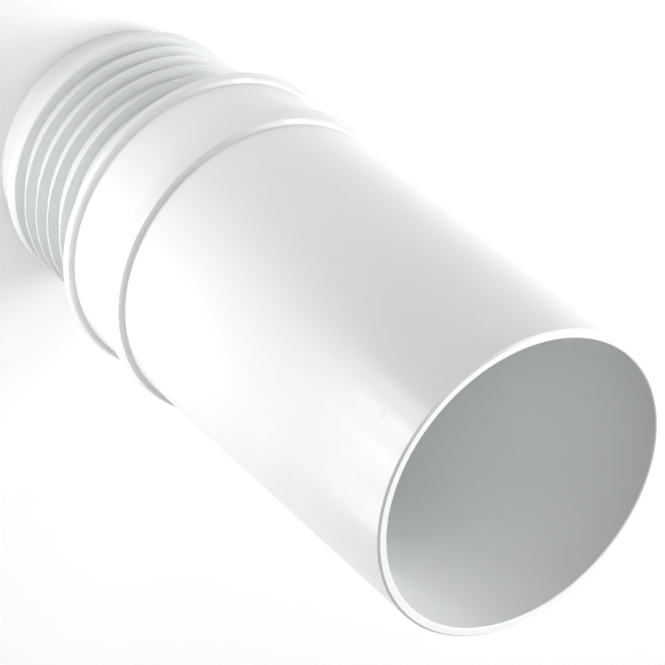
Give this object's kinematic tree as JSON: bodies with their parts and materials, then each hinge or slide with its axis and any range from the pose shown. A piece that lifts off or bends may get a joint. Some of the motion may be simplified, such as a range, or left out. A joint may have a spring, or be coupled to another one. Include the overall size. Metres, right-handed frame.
{
  "type": "straight toilet extension",
  "caption": "White plastic straight extension for a toilet outlet: a plain push-fit tube with raised collars and a narrower finned sealing spigot, open right through.",
  "frame": {"origin": "centre of the finned end's rim, which the part stands on", "axes": "+Z along the tube's axis, from the finned end to the plain open end"},
  "size_m": [0.1158, 0.1158, 0.2575],
  "materials": {
    "white_plastic": "satin"
  },
  "bodies": {
    "root": {"extension_body": "white_plastic"}
  },
  "joints": []
}
